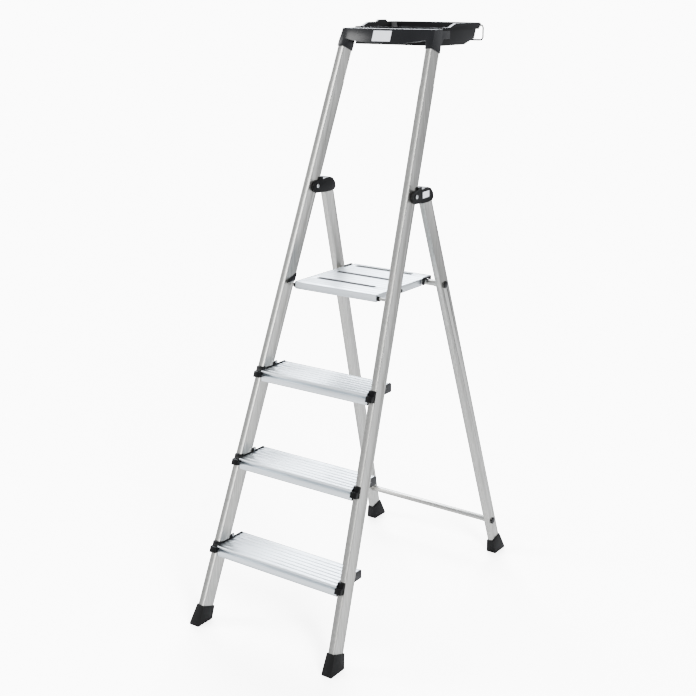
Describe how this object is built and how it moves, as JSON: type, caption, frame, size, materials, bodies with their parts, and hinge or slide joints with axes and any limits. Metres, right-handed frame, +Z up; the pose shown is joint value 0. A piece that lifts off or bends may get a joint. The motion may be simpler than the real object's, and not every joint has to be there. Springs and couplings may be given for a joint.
{
  "type": "step ladder",
  "caption": "Folding step ladder with leaning stiles, ribbed treads, a folding platform with grip strips, a hinged rear frame, rubber feet and a tool tray with a wire bail on top.",
  "frame": {"origin": "on the floor, in the middle of the four feet's footprint", "axes": "+Z up; the climber stands at -Y and faces +Y; +X is the climber's right"},
  "size_m": [0.435, 0.839, 1.445],
  "materials": {
    "tube_aluminium": "satin mill",
    "tread_aluminium": "bright ribbed extrusion",
    "steel": "zinc plated",
    "wire": "black coated",
    "black_plastic": "fine texture",
    "head_plastic": "satin",
    "rubber": "matt",
    "label": "smooth film"
  },
  "bodies": {
    "front_frame": {"front_stile_left": "tube_aluminium", "front_foot_left": "rubber", "tread_cap_1_left": "black_plastic", "tread_rivet_1_left": "steel", "tread_cap_2_left": "black_plastic", "tread_rivet_2_left": "steel", "tread_cap_3_left": "black_plastic", "tread_rivet_3_left": "steel", "hinge_pin_left": "steel", "axle_gusset_left": "black_plastic", "front_stile_right": "tube_aluminium", "front_foot_right": "rubber", "tread_cap_1_right": "black_plastic", "tread_rivet_1_right": "steel", "tread_cap_2_right": "black_plastic", "tread_rivet_2_right": "steel", "tread_cap_3_right": "black_plastic", "tread_rivet_3_right": "steel", "hinge_pin_right": "steel", "axle_gusset_right": "black_plastic", "tread_1": "tread_aluminium", "tread_2": "tread_aluminium", "tread_3": "tread_aluminium", "platform_axle": "tube_aluminium", "head_beam": "head_plastic", "head_label": "label", "tool_tray": "black_plastic"},
    "rear_frame": {"rear_leg_left": "tube_aluminium", "rear_foot_left": "rubber", "leg_joint_left": "black_plastic", "upper_bar_plug_left": "black_plastic", "lower_bar_plug_left": "black_plastic", "rear_leg_right": "tube_aluminium", "rear_foot_right": "rubber", "leg_joint_right": "black_plastic", "hinge_label": "label", "upper_bar_plug_right": "black_plastic", "lower_bar_plug_right": "black_plastic", "upper_crossbar": "tube_aluminium", "lower_crossbar": "tube_aluminium"},
    "platform": {"axle_bush_left": "black_plastic", "platform_stop_left": "rubber", "axle_bush_right": "black_plastic", "platform_stop_right": "rubber", "platform_grip_1": "rubber", "platform_grip_2": "rubber", "platform_grip_3": "rubber", "platform_plate": "tread_aluminium", "platform_hook_left": "black_plastic", "platform_hook_right": "black_plastic"},
    "bail": {"bail_wire": "wire"}
  },
  "joints": [
    {"name": "rear_fold", "type": "hinge", "parent": "front_frame", "child": "rear_frame", "pos_m": [0, 0.0138, 1.049], "axis": [-1, 0, 0], "range_deg": [0, 37.7]},
    {"name": "platform_fold", "type": "hinge", "parent": "front_frame", "child": "platform", "pos_m": [0, -0.07833, 0.814], "axis": [1, 0, 0], "range_deg": [0, 69.5]},
    {"name": "bail_swing", "type": "hinge", "parent": "front_frame", "child": "bail", "pos_m": [0, 0.35885, 1.433], "axis": [1, 0, 0], "range_deg": [-5, 100]}
  ],
  "couplings": [
    {"joint": "platform_fold", "follows": "rear_fold", "ratio": 1.8434}
  ]
}
